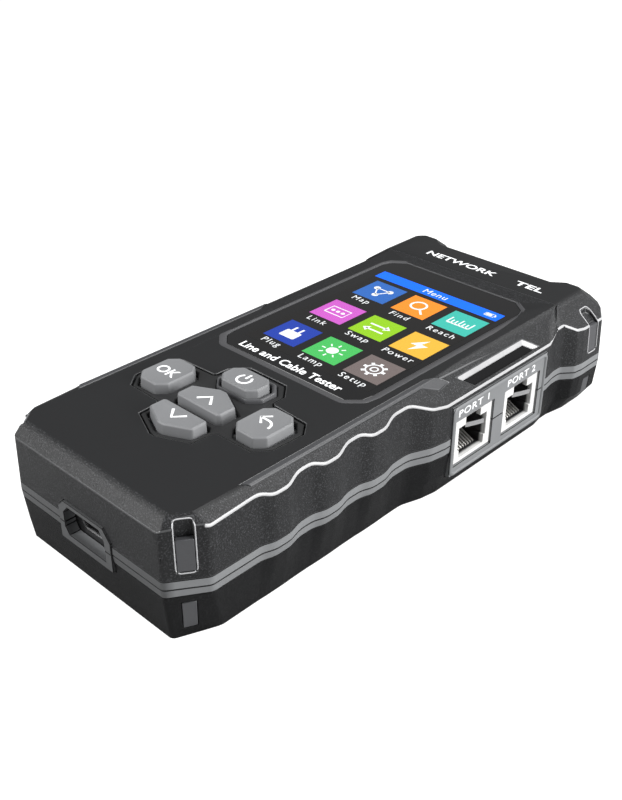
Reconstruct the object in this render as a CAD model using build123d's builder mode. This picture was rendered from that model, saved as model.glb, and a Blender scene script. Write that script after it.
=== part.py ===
from build123d import *

import os

# Handheld network cable tester, lying on its back. Millimetres, +Z up out of the face,
# +Y towards the socket end, +X towards the side sockets. The origin is under the middle.

# ---- driving dimensions ----
SEAM_Z = 14.6
FACE_Z = 32.4
RIDGE_Z = 33.4
BAND = 2.2
WALL = 2.6
ROOF = 2.6
FLOOR = 2.2
WAVE_CENTRES = (-51.0, -35.0, -18.8)
PANEL_Y0, PANEL_Y1 = 6.0, 48.0
PANEL_Z0, PANEL_Z1 = 4.6, 25.5
PANEL_X = 36.1
PANEL_T = 2.0
JACK_YS = (15.8, 36.9)
END_X, END_Z0, END_Z1 = 19.4, 5.2, 22.6
END_Y0, END_Y1 = 75.0, 77.1
JACK_Z = 13.95
JACK_W, JACK_H, JACK_DEPTH = 15.9, 13.3, 16.4
JACK_FACE_X = 35.6
END_FACE_Y = 76.6
RJ45_X, RJ11_X = -9.5, 11.5
RJ11_W = 13.2
PCB_Z, PCB_T = 20.7, 1.6
PCB_TOP = PCB_Z + PCB_T
KEY_TOP = 34.5
KEY_TRAVEL = 0.8
KEY_GAP = 0.6
PLATE_TOP = 32.2
PLATE_T = 1.6
LENS_TOP, LENS_T = 32.2, 1.6
LCD_X, LCD_Y = 0.9, 17.4
VIEW_W, VIEW_H = 43.2, 57.6
USB_Z = 15.0
BOSSES = [(25.4, -66.0), (-25.4, -66.0), (26.0, -19.5), (-26.0, -19.5), (28.5, 67.0), (-28.5, 67.0)]
POSTS = [(18.0, -68.5), (-18.0, -68.5), (20.5, 58.8), (-20.5, 58.8)]
GAP = 0.1
HALF_SEAM = 0.05
LUG_GRIP = 0.4
RIM_BACK_Y = -77.1

os.makedirs("parts", exist_ok=True)


def save(builder, name):
    builder.part.label = name
    export_step(builder.part, f"parts/{name}.step")


# ---- the wall's plan at a few heights ----
# grip, wave, port, notch, head: half widths along the side; near and far: the two ends;
# near_corner is where the side turns in towards the near end.
LEVELS = {
    0.0: dict(grip=30.9, wave=0.1, port=33.6, notch=32.9, head=34.0, near=-78.3, near_half=26.4,
              near_corner=-67.6, far=78.0, far_half=31.0),
    6.0: dict(grip=31.7, wave=0.5, port=35.3, notch=34.6, head=38.0, near=-79.0, near_half=26.5,
              near_corner=-69.4, far=79.2, far_half=32.2),
    SEAM_Z: dict(grip=32.6, wave=1.2, port=36.0, notch=35.3, head=38.7, near=-79.8, near_half=26.6,
                 near_corner=-71.2, far=79.8, far_half=32.8),
    34.0: dict(grip=32.2, wave=1.2, port=35.6, notch=34.9, head=37.6, near=-79.4, near_half=26.0,
               near_corner=-70.8, far=79.4, far_half=32.4),
}


def level_at(z):
    heights = sorted(LEVELS)
    upper = next(h for h in heights if h >= z)
    lower = max([h for h in heights if h <= z])
    share = 0.0 if upper == lower else (z - lower) / (upper - lower)
    return {k: LEVELS[lower][k] * (1 - share) + LEVELS[upper][k] * share for k in LEVELS[lower]}


def outline(z):
    """Plan of the wall at height z, as corners (x, y, radius): finger waves on the grip, a wide head."""
    d = level_at(z)
    grip = d["grip"]
    crest = d["grip"] + d["wave"]
    side = [(d["near_half"], d["near"], 1.6), (grip, d["near_corner"], 3.0)]
    for c in WAVE_CENTRES:
        side += [(grip, c - 5.6, 7.0), (crest, c - 2.6, 7.0), (crest, c + 2.0, 8.0), (grip, c + 6.0, 10.0)]
    side += [(grip, -6.8, 8.0), (d["port"] - 0.8, -0.8, 7.0), (d["port"], 4.0, 5.0), (d["port"], 49.5, 4.0)]
    side += [(d["notch"], 53.6, 3.0), (d["notch"], 57.0, 2.5), (d["head"] - 0.5, 60.5, 2.0)]
    side += [(d["head"], 63.5, 4.0), (d["head"], 72.7, 1.2), (d["far_half"], d["far"], 1.2)]
    side += [(24.0, d["far"], 0.8), (20.2, d["far"] - 2.8, 0.8)]
    return side + [(-x, y, r) for x, y, r in reversed(side)]


def wall_sketch(z):
    corners = outline(z)
    with BuildSketch(Plane.XY.offset(z)) as plan:
        with BuildLine():
            FilletPolyline(*[(x, y) for x, y, _ in corners], radius=[r for _, _, r in corners], close=True)
        make_face()
    return plan


def wall_block(z0, z1):
    """Solid of the outer wall between two heights, ruled through every level in between."""
    heights = [z0] + [h for h in sorted(LEVELS) if z0 < h < z1] + [z1]
    with BuildPart(mode=Mode.PRIVATE) as block:
        for low, high in zip(heights, heights[1:]):
            sections = [wall_sketch(low).sketch, wall_sketch(high).sketch]
            loft(sections=sections, ruled=True)
    return block.part


def prism(points, z0, z1, taper=0.0):
    """Closed polygon through the points, raised from z0 to z1 (down when z1 is lower)."""
    with BuildPart(mode=Mode.PRIVATE) as solid:
        with BuildSketch(Plane.XY.offset(z0)):
            with BuildLine():
                Polyline(*points, close=True)
            make_face()
        extrude(amount=z1 - z0, taper=taper)
    return solid.part


def box(x0, x1, y0, y1, z0, z1):
    with BuildPart(mode=Mode.PRIVATE) as solid:
        with Locations(((x0 + x1) / 2, (y0 + y1) / 2, (z0 + z1) / 2)):
            Box(x1 - x0, y1 - y0, z1 - z0)
    return solid.part


def rod(x, y, z0, z1, r):
    with BuildPart(mode=Mode.PRIVATE) as solid:
        with Locations((x, y, (z0 + z1) / 2)):
            Cylinder(r, z1 - z0)
    return solid.part


def mirrored(right):
    return right + [(-x, y) for x, y in reversed(right)]


def octagon(x0, x1, y0, y1, cut):
    return [(x0 + cut, y0), (x1 - cut, y0), (x1, y0 + cut), (x1, y1 - cut),
            (x1 - cut, y1), (x0 + cut, y1), (x0, y1 - cut), (x0, y0 + cut)]


CAVITY = mirrored([(24.4, -76.8), (29.6, -69.4), (29.6, -6.0), (32.6, 1.0), (32.6, 56.0),
                   (35.0, 62.5), (35.0, 71.0), (31.0, 75.6), (23.0, 75.6), (21.0, 73.8)])
LENS = mirrored([(20.8, -18.1), (24.3, -14.8), (24.8, -11.8), (24.8, 49.2), (23.8, 52.2), (19.8, 55.3)])
WELL = mirrored([(0.6, -59.7), (9.5, -55.8), (9.8, -50.2), (10.7, -49.3), (21.3, -49.0), (24.5, -45.1),
                 (24.9, -35.7), (22.0, -32.0), (10.9, -31.4), (10.2, -30.8), (10.0, -27.1), (6.4, -22.9)])
KEYS = {
    "ok_key": octagon(-22.4, -12.0, -47.1, -34.0, 2.4),
    "back_key": octagon(12.0, 22.4, -47.1, -34.0, 2.4),
    "power_key": octagon(-6.5, 6.5, -34.6, -26.5, 2.2),
    "up_key": mirrored([(7.0, -46.2), (7.8, -45.4), (7.8, -40.8), (1.0, -37.3)]),
    "down_key": mirrored([(1.0, -57.3), (7.8, -54.1), (7.8, -49.9), (7.0, -49.1)]),
}
STEMS = {"ok_key": (-17.2, -40.5), "back_key": (17.2, -40.5), "power_key": (0.0, -30.5),
         "up_key": (0.0, -42.2), "down_key": (0.0, -52.6)}
COLLAR = octagon(-8.1, 8.1, -35.5, -24.9, 3.0)


def grown(points, amount, z0, z1):
    with BuildPart(mode=Mode.PRIVATE) as solid:
        with BuildSketch(Plane.XY.offset(z0)) as plan:
            with BuildLine():
                Polyline(*points, close=True)
            make_face()
            offset(amount=amount, kind=Kind.INTERSECTION)
        extrude(amount=z1 - z0)
    return solid.part


# ---- cutters shared by the shells and the bands ----
panel_space = box(30.0, 45.0, PANEL_Y0 - GAP, PANEL_Y1 + GAP, PANEL_Z0 - GAP, PANEL_Z1 + GAP)
RIM_PLAN = [(-10.0, 9.6), (9.4, 9.6), (9.4, 17.6), (6.9, 20.6), (-7.9, 20.6), (-10.0, 18.4)]
POCKET_PLAN = [(-6.6, 11.5), (7.0, 11.5), (7.0, 17.0), (5.4, 19.4), (-6.2, 19.4), (-8.0, 17.4), (-8.0, 13.4)]


def end_plate(points, y0, y1):
    """Plate across the part between two Y planes, drawn in X and Z."""
    with BuildPart(mode=Mode.PRIVATE) as solid:
        with BuildSketch(Plane.XZ.offset(-y1)):
            with BuildLine():
                Polyline(*points, close=True)
            make_face()
        extrude(amount=y1 - y0)
    return solid.part


rim_space = end_plate([(x * 1.01, z + (GAP if z > SEAM_Z else -GAP)) for x, z in RIM_PLAN], -85.0, -75.9)
end_space = box(-END_X - GAP, END_X + GAP, 73.0, 85.0, END_Z0 - GAP, END_Z1 + GAP)


UPPER_SLOT = dict(depth=1.8, z0=18.8, z1=36.0, width=4.3)
LOWER_SLOT = dict(depth=2.4, z0=2.4, z1=10.3, width=3.4)
HEAD_SLOT_X, HEAD_SLOT_Y = 38.4, 66.0
NEAR_SLOT = (29.6, -75.3)
NEAR_SLANT = (5.9, 8.6)


def corner_slots(depth, z0, z1, width):
    """Four upright slots: two on the near corners' slant, two on the sides of the head."""
    slots = []
    for side in (1, -1):
        middle = (side * NEAR_SLOT[0], NEAR_SLOT[1], (z0 + z1) / 2)
        near = Plane(origin=middle, x_dir=(side * NEAR_SLANT[0], NEAR_SLANT[1], 0), z_dir=(0, 0, 1))
        with BuildPart(mode=Mode.PRIVATE) as slot:
            with BuildSketch(near):
                Rectangle(width, 2 * depth)
            extrude(amount=(z1 - z0) / 2, both=True)
        slots.append(slot.part)
        reach = sorted((side * (HEAD_SLOT_X - depth), side * (HEAD_SLOT_X + depth)))
        slots.append(box(*reach, HEAD_SLOT_Y, HEAD_SLOT_Y + width, z0, z1))
    return slots


# ---- front shell ----
FACE = mirrored([(25.2, -76.3), (28.7, -72.4), (29.6, -70.6), (30.3, -58.9), (30.3, 62.0)])
RIDGE = mirrored([(30.3, 58.8), (30.3, 72.6), (28.0, 74.6), (24.0, 74.6), (20.2, 71.8)])
STRIP = [(28.9, -58.9), (30.7, -57.6), (30.7, -0.5), (32.5, 4.3), (32.1, 8.4), (30.9, 6.6), (29.0, 2.4)]
STRIP_DEPTH = 1.0
POCKET = [(32.1, 11.7), (34.9, 16.1), (34.9, 44.9), (32.1, 40.4)]
POCKET_DEPTH, WINDOW_DEPTH = 1.8, 1.1
HEAD_GROOVE = [(34.0, 66.9), (34.9, 66.0), (39.5, 66.0), (39.5, 70.3), (34.9, 70.3), (34.0, 69.4)]
GROOVE_DEPTH = 1.4
BAND_TOP = SEAM_Z + BAND
BAND_BOTTOM = SEAM_Z - BAND

def roof(drop=0.0):
    """Everything under the face, the ridge and their slopes, let down by drop."""
    with BuildPart(mode=Mode.PRIVATE) as cover:
        add(prism(FACE, FACE_Z - drop, BAND_TOP - 2.0, taper=-45))
        add(prism(RIDGE, RIDGE_Z - drop, BAND_TOP - 2.0, taper=-52))
    return cover.part


def on_slope(points, top_drop, floor_drop):
    """Slab of the given plan that follows the face and its slopes between two depths."""
    with BuildPart(mode=Mode.PRIVATE) as slab:
        add(prism(points, 20.0, RIDGE_Z + 2))
        if top_drop is not None:
            add(roof(top_drop), mode=Mode.INTERSECT)
        add(roof(floor_drop), mode=Mode.SUBTRACT)
    return slab.part


def both_sides(points):
    return [[(side * x, y) for x, y in points] for side in (1, -1)]


with BuildPart(mode=Mode.PRIVATE) as hollow:
    add(prism(CAVITY, BAND_TOP - 1.0, FACE_Z - ROOF))
    add(roof(ROOF * 1.3), mode=Mode.INTERSECT)

with BuildPart() as front_shell:
    add(wall_block(BAND_TOP, RIDGE_Z))
    add(roof(), mode=Mode.INTERSECT)
    add(hollow.part, mode=Mode.SUBTRACT)
    add(grown(LENS, 0.15, LENS_TOP - LENS_T - 0.4, FACE_Z + 2), mode=Mode.SUBTRACT)
    add(box(LCD_X - 23.4, LCD_X + 23.4, LCD_Y - 31.0, LCD_Y + 31.0, 25.0, FACE_Z), mode=Mode.SUBTRACT)
    add(grown(WELL, 0.0, PLATE_TOP - PLATE_T, FACE_Z + 2), mode=Mode.SUBTRACT)
    add(grown(WELL, -0.8, 25.0, FACE_Z), mode=Mode.SUBTRACT)
    add(panel_space, mode=Mode.SUBTRACT)
    add(rim_space, mode=Mode.SUBTRACT)
    add(end_space, mode=Mode.SUBTRACT)
    add(corner_slots(**UPPER_SLOT), mode=Mode.SUBTRACT)
    for strip in both_sides(STRIP):
        add(on_slope(strip, None, STRIP_DEPTH), mode=Mode.SUBTRACT)
    add(on_slope(POCKET, None, POCKET_DEPTH), mode=Mode.SUBTRACT)
    for groove in both_sides(HEAD_GROOVE):
        add(on_slope(groove, None, GROOVE_DEPTH), mode=Mode.SUBTRACT)
    for x, y in BOSSES:
        add(rod(x, y, BAND_TOP, 30.4, 3.2))
        add(rod(x, y, BAND_TOP - 1, 27.0, 1.1), mode=Mode.SUBTRACT)
    for x, y in POSTS:
        add(rod(x, y, PCB_TOP, 30.4, 2.4))
        add(rod(x, y, PCB_TOP - 1, 28.0, 0.8), mode=Mode.SUBTRACT)
save(front_shell, "front_shell")

# ---- rear shell ----
with BuildPart() as rear_shell:
    add(wall_block(0.0, BAND_BOTTOM))
    add(prism(CAVITY, FLOOR, BAND_BOTTOM + 1), mode=Mode.SUBTRACT)
    add(panel_space, mode=Mode.SUBTRACT)
    add(rim_space, mode=Mode.SUBTRACT)
    add(end_space, mode=Mode.SUBTRACT)
    add(corner_slots(**LOWER_SLOT), mode=Mode.SUBTRACT)
    for x, y in BOSSES:
        add(rod(x, y, FLOOR - 0.2, BAND_TOP - 0.1, 3.2))
        add(rod(x, y, -1, BAND_TOP + 1, 1.4), mode=Mode.SUBTRACT)
        add(rod(x, y, -1, 3.2, 2.6), mode=Mode.SUBTRACT)
    add(box(-16.0, 16.0, -24.0, 24.0, -1.0, 0.4), mode=Mode.SUBTRACT)
save(rear_shell, "rear_shell")


# ---- the two grey bands at the seam, with the port frame and the charging-port rim ----
def jack_window(x_span, y_span):
    """Cutter that a socket's face looks through."""
    return box(*x_span, *y_span, JACK_Z - JACK_H / 2 - GAP, JACK_Z + JACK_H / 2 + GAP)


def seam_band(z0, z1, frame_z0, frame_z1):
    """Band between z0 and z1, with its half of the side socket frame, end frame and charging-port rim."""
    inside = min(z0, frame_z0) - 1
    above = max(z1, frame_z1) + 1
    lug_x = PANEL_X - 1
    with BuildPart(mode=Mode.PRIVATE) as band:
        add(wall_block(z0, z1))
        add(prism(CAVITY, z0 - 1, z1 + 1), mode=Mode.SUBTRACT)
        add(box(30.0, 45.0, PANEL_Y0, PANEL_Y1, inside, above), mode=Mode.SUBTRACT)
        add(box(-END_X, END_X, 70.0, 90.0, inside, above), mode=Mode.SUBTRACT)
        add(box(PANEL_X - PANEL_T, PANEL_X, PANEL_Y0, PANEL_Y1, frame_z0, frame_z1))
        add(box(-END_X - LUG_GRIP, END_X + LUG_GRIP, END_Y0, END_Y1 - LUG_GRIP, z0, z1))
        add(box(-END_X, END_X, END_Y0, END_Y1, frame_z0, frame_z1))
        for y0, y1 in ((PANEL_Y0 - 2, PANEL_Y0 + LUG_GRIP), (PANEL_Y1 - LUG_GRIP, PANEL_Y1 + 2)):
            add(box(32.6, lug_x, y0, y1, z0, z1))
        for y in JACK_YS:
            add(jack_window((30.0, 40.0), (y - JACK_W / 2 - GAP, y + JACK_W / 2 + GAP)), mode=Mode.SUBTRACT)
        with BuildPart(mode=Mode.PRIVATE) as rim:
            add(end_plate(RIM_PLAN, -80.1, RIM_BACK_Y))
            add(box(-20.0, 20.0, -85.0, -70.0, min(z0, frame_z0), max(z1, frame_z1)), mode=Mode.INTERSECT)
        add(rim.part)
        add(end_plate(POCKET_PLAN, -90.0, RIM_BACK_Y + 0.05), mode=Mode.SUBTRACT)
        add(box(-9.6, 9.0, RIM_BACK_Y + 0.05, -70.0, inside, above), mode=Mode.SUBTRACT)
        for x, w in ((RJ45_X, JACK_W), (RJ11_X, RJ11_W)):
            add(jack_window((x - w / 2 - GAP, x + w / 2 + GAP), (70.0, 90.0)), mode=Mode.SUBTRACT)
    return band.part


with BuildPart() as upper_band:
    add(seam_band(SEAM_Z + HALF_SEAM, BAND_TOP, SEAM_Z + HALF_SEAM, PANEL_Z1))
    add(box(-50.0, 50.0, 70.0, 90.0, END_Z1, PANEL_Z1 + 1), mode=Mode.SUBTRACT)
save(upper_band, "upper_band")

with BuildPart() as lower_band:
    add(seam_band(BAND_BOTTOM, SEAM_Z - HALF_SEAM, PANEL_Z0, SEAM_Z - HALF_SEAM))
    add(box(-50.0, 50.0, 70.0, 90.0, PANEL_Z0 - 1, END_Z0), mode=Mode.SUBTRACT)
save(lower_band, "lower_band")


CONTACT_PITCH = 1.02
CONTACT_SIDE = [(2.0, -5.3), (2.0, -4.9), (9.6, -1.2), (9.6, -1.7), (3.0, -4.95), (12.2, -4.95), (12.2, -5.3)]
MOUTH_H, MOUTH_DEPTH = 6.9, 12.4


# ---- sockets: housing with a mouth and a latch notch, and its row of contacts ----
def jack(place, width, contacts, name):
    """Socket with its mouth looking along the plane's z, x to its right and y up."""
    mouth_w = 11.8 if contacts == 8 else 9.8
    notch_w = 6.2 if contacts == 8 else 4.4
    with BuildPart() as housing:
        with BuildSketch(place):
            Rectangle(width, JACK_H)
        extrude(amount=-JACK_DEPTH)
        with BuildSketch(place):
            with Locations((0, 0.3)):
                Rectangle(mouth_w, MOUTH_H)
            with Locations((0, 4.6)):
                Rectangle(notch_w, 3.0)
            with Locations((0, -4.2)):
                Rectangle(mouth_w - 1.2, 2.8)
        extrude(amount=-MOUTH_DEPTH, mode=Mode.SUBTRACT)
    save(housing, name)
    with BuildPart() as wires:
        for i in range(contacts):
            across = (i - (contacts - 1) / 2) * CONTACT_PITCH
            centre = place.from_local_coords((across, 0, 0))
            with BuildSketch(Plane(origin=centre, x_dir=-place.z_dir, z_dir=place.x_dir)):
                with BuildLine():
                    Polyline(*CONTACT_SIDE, close=True)
                make_face()
            extrude(amount=0.22, both=True)
    save(wires, name + "_contacts")


for index, y in enumerate(JACK_YS):
    side_plane = Plane(origin=(JACK_FACE_X, y, JACK_Z), x_dir=(0, 1, 0), z_dir=(1, 0, 0))
    jack(side_plane, JACK_W, 8, f"side_jack_{index + 1}")
for x, width, count, name in ((RJ45_X, JACK_W, 8, "end_jack"), (RJ11_X, RJ11_W, 4, "phone_jack")):
    end_plane = Plane(origin=(x, END_FACE_Y, JACK_Z), x_dir=(-1, 0, 0), z_dir=(0, 1, 0))
    jack(end_plane, width, count, name)

# ---- charging port on its small board ----
usb_mouth = Plane(origin=(-0.6, -77.0, USB_Z), x_dir=(1, 0, 0), z_dir=(0, -1, 0))
with BuildPart() as usb_shell:
    with BuildSketch(usb_mouth):
        SlotOverall(8.94, 3.16)
        offset(amount=-0.3, mode=Mode.SUBTRACT)
    extrude(amount=-7.3)
save(usb_shell, "usb_shell")
with BuildPart() as usb_tongue:
    with BuildSketch(usb_mouth.offset(-0.8)):
        Rectangle(6.7, 0.7)
    extrude(amount=-5.4)
    with BuildSketch(usb_mouth.offset(-6.2)):
        SlotOverall(8.2, 2.4)
    extrude(amount=-1.0)
save(usb_tongue, "usb_tongue")
with BuildPart() as usb_bezel:
    add(end_plate([(-9.4, 10.1), (8.8, 10.1), (8.8, 17.3), (6.6, 20.1), (-7.6, 20.1), (-9.4, 18.2)], -77.05, -76.1))
    with BuildSketch(usb_mouth):
        SlotOverall(9.2, 3.4)
    extrude(amount=3.0, both=True, mode=Mode.SUBTRACT)
save(usb_bezel, "usb_bezel")
with BuildPart() as usb_board:
    add(box(-8.0, 8.0, -75.9, -66.0, USB_Z - 2.6, USB_Z - 1.6))
save(usb_board, "usb_board")

# ---- window, display and face trim ----
with BuildPart() as screen_lens:
    add(prism(LENS, LENS_TOP - LENS_T + 0.05, LENS_TOP))
    chamfer(screen_lens.edges().group_by(Axis.Z)[-1], 0.3)
save(screen_lens, "screen_lens")
with BuildPart() as lcd_glass:
    with Locations((LCD_X, LCD_Y, 29.0)):
        Box(VIEW_W + 3.2, 61.0, 1.5)
save(lcd_glass, "lcd_glass")
with BuildPart() as lcd_frame:
    with Locations((LCD_X, LCD_Y, 26.9)):
        Box(VIEW_W + 4.6, 65.0, 2.6)
save(lcd_frame, "lcd_frame")
with BuildPart() as lcd_tail:
    add(box(-9.0, 9.0, -15.8, -15.5, PCB_TOP + 0.05, 26.9))
    add(box(-9.0, 9.0, -20.5, -15.5, PCB_TOP + 0.05, PCB_TOP + 0.3))
save(lcd_tail, "lcd_tail")
with BuildPart() as lens_gasket:
    add(grown(LENS, -0.3, LENS_TOP - LENS_T - 0.35, LENS_TOP - LENS_T))
    add(box(LCD_X - 23.4, LCD_X + 23.4, LCD_Y - 31.0, LCD_Y + 31.0, 25.0, FACE_Z), mode=Mode.SUBTRACT)
save(lens_gasket, "lens_gasket")
for plan, name in zip(both_sides(STRIP), ("right_strip", "left_strip")):
    with BuildPart() as strip:
        add(on_slope(plan, -0.15, STRIP_DEPTH))
    save(strip, name)
with BuildPart() as status_window:
    add(on_slope(POCKET, WINDOW_DEPTH, POCKET_DEPTH))
save(status_window, "status_window")

# ---- keypad: plate, collar, mat, snap domes and the five keys ----
with BuildPart() as keypad_plate:
    add(grown(WELL, -0.4, PLATE_TOP - PLATE_T + 0.05, PLATE_TOP))
    for name, points in KEYS.items():
        if name == "power_key":
            add(grown(COLLAR, 0.1, 25.0, 40.0), mode=Mode.SUBTRACT)
        else:
            add(grown(points, KEY_GAP, 25.0, 40.0), mode=Mode.SUBTRACT)
save(keypad_plate, "keypad_plate")
with BuildPart() as power_collar:
    add(grown(COLLAR, 0.0, PLATE_TOP - PLATE_T + 0.05, PLATE_TOP + 0.9))
    chamfer(power_collar.edges().group_by(Axis.Z)[-1], 0.5)
    add(grown(KEYS["power_key"], KEY_GAP - 0.1, 25.0, 40.0), mode=Mode.SUBTRACT)
save(power_collar, "power_collar")
for name, points in KEYS.items():
    top = KEY_TOP + (0.5 if name == "power_key" else 0.0)
    with BuildPart() as key:
        add(grown(points, 0.0, 28.9, top))
        chamfer(key.edges().group_by(Axis.Z)[-1], 0.6)
        add(grown(points, 0.9 if name != "power_key" else 0.7, 29.6, 30.5))
    save(key, name)
    x, y = STEMS[name]
    with BuildPart() as stem:
        with Locations((x, y, (28.9 + PCB_TOP + 1.4) / 2)):
            Cylinder(1.9, 28.9 - PCB_TOP - 1.4)
    save(stem, name.replace("key", "stem"))
with BuildPart() as keypad_mat:
    add(grown(WELL, -2.6, PCB_TOP, PCB_TOP + 0.4))
    for x, y in STEMS.values():
        add(rod(x, y, 20.0, 30.0, 3.1), mode=Mode.SUBTRACT)
save(keypad_mat, "keypad_mat")
with BuildPart() as snap_domes:
    for x, y in STEMS.values():
        add(rod(x, y, PCB_TOP, PCB_TOP + 0.5, 2.9))
save(snap_domes, "snap_domes")

# ---- main board and what it carries ----
with BuildPart() as main_board:
    add(prism(mirrored([(21.0, -74.0), (29.2, -62.0), (29.2, 56.0), (30.6, 60.0), (30.6, 70.0), (27.0, 73.4)]),
              PCB_Z, PCB_TOP))
    for x, y in BOSSES:
        add(rod(x, y, 20.0, 23.0, 3.5), mode=Mode.SUBTRACT)
    for x, y in POSTS:
        add(rod(x, y, 20.0, 23.0, 1.1), mode=Mode.SUBTRACT)
save(main_board, "main_board")
with BuildPart() as board_screws:
    for x, y in POSTS:
        add(rod(x, y, PCB_Z, PCB_Z + 6.0, 0.75))
        add(rod(x, y, PCB_Z - 1.3, PCB_Z, 1.9))
save(board_screws, "board_screws")
with BuildPart() as case_screws:
    for x, y in BOSSES:
        add(rod(x, y, 3.2, BAND_TOP + 7.0, 1.05))
        add(rod(x, y, 1.0, 3.2, 2.4))
        with Locations((x, y, 1.5)):
            Cylinder(1.1, 1.2, mode=Mode.SUBTRACT)
save(case_screws, "case_screws")
with BuildPart() as processor:
    add(box(-6.0, 6.0, -8.0, 4.0, PCB_Z - 1.4, PCB_Z))
save(processor, "processor")
with BuildPart() as line_transformers:
    for y in JACK_YS:
        add(box(6.0, 15.0, y - 7.5, y + 7.5, PCB_Z - 5.2, PCB_Z))
save(line_transformers, "line_transformers")
with BuildPart() as signal_chips:
    for x, y in ((-18.0, 27.0), (-18.0, 40.0), (-5.0, 30.0), (-5.0, 48.0)):
        add(box(x - 3.5, x + 3.5, y - 3.5, y + 3.5, PCB_Z - 1.2, PCB_Z))
save(signal_chips, "signal_chips")
with BuildPart() as buzzer:
    add(rod(-18.0, -66.5 + 12, PCB_Z - 3.6, PCB_Z, 4.5))
    add(rod(-18.0, -66.5 + 12, PCB_Z - 4.0, PCB_Z - 2.5, 1.0), mode=Mode.SUBTRACT)
save(buzzer, "buzzer")
with BuildPart() as status_leds:
    for y in (19.0, 24.0, 31.0, 36.0):
        add(box(27.6, 28.8, y - 1.0, y + 1.0, PCB_TOP, PCB_TOP + 0.8))
save(status_leds, "status_leds")

# ---- battery ----
with BuildPart() as battery_foam:
    add(box(-16.0, 16.0, -46.0, 8.0, FLOOR + 0.02, FLOOR + 0.8))
save(battery_foam, "battery_foam")
with BuildPart() as battery_cell:
    add(box(-17.0, 17.0, -48.0, 10.0, FLOOR + 0.82, FLOOR + 10.0))
    fillet(battery_cell.edges().filter_by(Axis.Y), 2.0)
save(battery_cell, "battery_cell")
with BuildPart() as battery_plug:
    add(box(-13.5, -6.5, 14.0, 20.0, PCB_Z - 5.0, PCB_Z))
save(battery_plug, "battery_plug")
with BuildPart() as battery_leads:
    for x in (-11.2, -8.8):
        with BuildLine() as route:
            FilletPolyline((x, 10.0, 9.0), (x, 12.2, 9.0), (x, 12.2, 13.2), (x, 16.5, 13.2),
                           (x, 16.5, PCB_Z - 5.0), radius=0.9)
        with BuildSketch(Plane(origin=(x, 10.0, 9.0), x_dir=(1, 0, 0), z_dir=(0, 1, 0))):
            Circle(0.7)
        sweep(path=route.wires()[0])
save(battery_leads, "battery_leads")

# ---- corner slot inlays and the blank rating plate ----
with BuildPart() as upper_inlays:
    for cutter in corner_slots(UPPER_SLOT["depth"] - GAP, UPPER_SLOT["z0"] + 0.2, 27.0, 4.0):
        add(cutter)
    add(wall_block(BAND_TOP, 30.0), mode=Mode.INTERSECT)
save(upper_inlays, "upper_inlays")
with BuildPart() as lower_inlays:
    for cutter in corner_slots(LOWER_SLOT["depth"] - GAP, LOWER_SLOT["z0"] + GAP, 10.2, 3.2):
        add(cutter)
    add(wall_block(1.0, BAND_BOTTOM), mode=Mode.INTERSECT)
save(lower_inlays, "lower_inlays")
with BuildPart() as rating_plate:
    add(box(-15.8, 15.8, -23.8, 23.8, 0.05, 0.38))
save(rating_plate, "rating_plate")
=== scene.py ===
"""Looks of the handheld network cable tester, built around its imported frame."""

import math

import bmesh
import bpy
import numpy as np
from bpy.props import FloatProperty, FloatVectorProperty, PointerProperty
from bpy.types import Operator, Panel, PropertyGroup
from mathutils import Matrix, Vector
from mathutils.bvhtree import BVHTree


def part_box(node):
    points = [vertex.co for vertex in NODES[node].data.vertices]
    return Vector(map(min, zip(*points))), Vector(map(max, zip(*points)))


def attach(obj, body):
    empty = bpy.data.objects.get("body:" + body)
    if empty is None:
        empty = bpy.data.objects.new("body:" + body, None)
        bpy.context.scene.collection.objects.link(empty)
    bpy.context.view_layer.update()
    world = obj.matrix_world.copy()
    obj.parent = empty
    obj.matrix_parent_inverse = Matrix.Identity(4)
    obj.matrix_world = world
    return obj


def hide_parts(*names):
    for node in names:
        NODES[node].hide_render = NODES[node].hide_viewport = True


bl_info = {
    "name": "Network Cable Tester Looks",
    "version": (1, 0, 0),
    "blender": (4, 5, 0),
    "location": "View3D > Sidebar > Tester",
    "description": "Builds the case, keypad, display, sockets and finishes of a network cable tester",
    "category": "Object",
}

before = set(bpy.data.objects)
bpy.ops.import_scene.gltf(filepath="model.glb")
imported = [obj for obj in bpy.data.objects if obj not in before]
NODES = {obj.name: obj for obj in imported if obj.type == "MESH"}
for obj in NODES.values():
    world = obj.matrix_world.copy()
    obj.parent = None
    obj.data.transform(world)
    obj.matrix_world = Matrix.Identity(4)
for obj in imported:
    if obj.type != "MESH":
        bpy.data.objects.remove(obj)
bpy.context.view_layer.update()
MM = 0.001

# Heights and places that several pieces share, in millimetres, read from the frame.
FACE_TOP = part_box("keypad_plate")[1].z / MM + 0.2
LENS_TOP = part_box("screen_lens")[1].z / MM
RIDGE_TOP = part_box("front_shell")[1].z / MM
PANEL_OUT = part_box("side_jack_1")[1].x / MM + 0.5
JACK_MIDDLES = [sum(corner.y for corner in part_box(f"side_jack_{i}")) / 2 / MM for i in (1, 2)]

# Thickness of printed ink, X where the face folds down to the flank, and the stretch from the near end over
# which the bands turn from their darker grey, a painted shade, to their own.
INK = 0.03
FLANK_FOLD = 30.3
END_SHADE_STRETCH = (0.9, 2.6)

# Lengthwise spans and sideways reach of the openings beside which a case edge is drawn differently.
WINDOW_SPAN, WINDOW_REACH = (11.0, 46.0), 35.3
HEAD_SLOT_SPAN, HEAD_SLOT_REACH = (65.5, 70.8), 37.2
NEAR_SLOT_END, NEAR_SLOT_DEPTH = -72.0, 65.9
NEAR_SLOT_OUTWARD = (0.8246, -0.5657)
NEAR_CORNER_END, NEAR_CORNER_SIDE = -70.5, 24.5
RIDGE_BACK = 70.0

# Limits of a face normal's Z that tell a level face, a slope and a wall apart.
LEVEL, SLOPE, WALL = 0.99, 0.4, 0.2

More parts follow.
